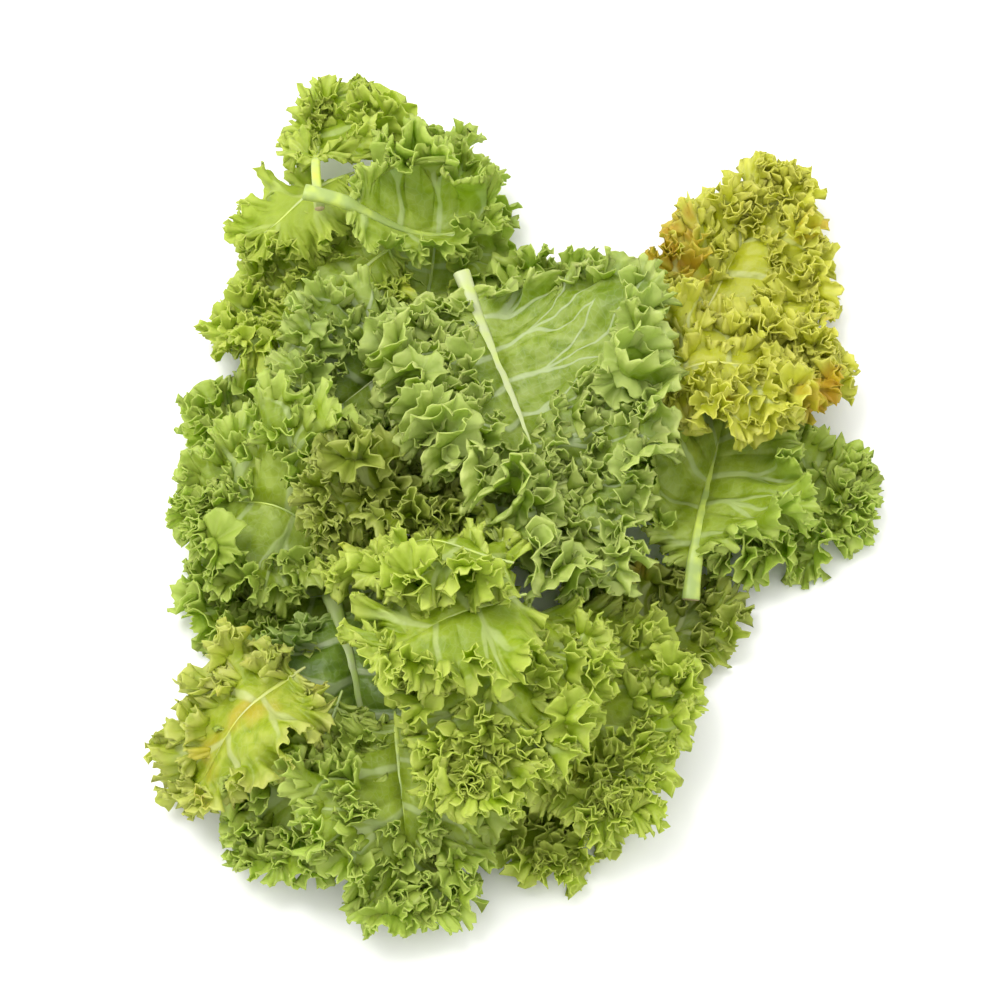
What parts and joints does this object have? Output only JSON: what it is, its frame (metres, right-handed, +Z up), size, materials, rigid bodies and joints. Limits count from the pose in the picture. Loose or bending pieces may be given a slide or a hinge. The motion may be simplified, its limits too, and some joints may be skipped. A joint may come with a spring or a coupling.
{
  "type": "kale bunch",
  "caption": "Loose bunch of curly kale leaves with frilled rims and pale midribs, lying in a heap on a flat surface.",
  "frame": {"origin": "on the surface the bunch lies on, under the middle of its box", "axes": "+Z up from the surface; +Y from the front leaves to the back stalks, the longest way across the heap; +X to the right, where the outer yellow leaves are"},
  "size_m": [0.3526, 0.4804, 0.1137],
  "materials": {
    "leaf_green": "waxy mid green, slightly rough",
    "leaf_blue_green": "waxy blue-green with a pale bloom",
    "leaf_yellow_green": "waxy yellow-green, slightly rough",
    "leaf_yellow": "ageing leaf, yellow with golden rims"
  },
  "bodies": {
    "root": {"olive_leaf": "leaf_yellow", "left_lower_leaf": "leaf_green", "left_upper_leaf": "leaf_green", "right_outer_leaf": "leaf_green", "front_right_leaf": "leaf_yellow_green", "back_dark_leaf": "leaf_green", "shoulder_leaf": "leaf_yellow_green", "back_left_leaf": "leaf_yellow_green", "back_stalk_leaf": "leaf_yellow_green", "yellow_tip_leaf": "leaf_yellow", "back_centre_leaf": "leaf_green", "broad_left_leaf": "leaf_green", "front_left_leaf": "leaf_green", "front_leaf": "leaf_green", "yellow_corner_leaf": "leaf_yellow", "blue_green_leaf": "leaf_blue_green", "front_broad_leaf": "leaf_yellow_green", "right_stalk_leaf": "leaf_green", "yellow_side_leaf": "leaf_yellow", "left_fan_leaf": "leaf_green", "middle_front_leaf": "leaf_yellow_green", "middle_fan_leaf": "leaf_yellow_green", "folded_leaf": "leaf_green", "inner_leaf": "leaf_blue_green", "middle_frill_leaf": "leaf_yellow_green", "rolled_leaf": "leaf_yellow", "crown_leaf": "leaf_blue_green"}
  },
  "joints": []
}
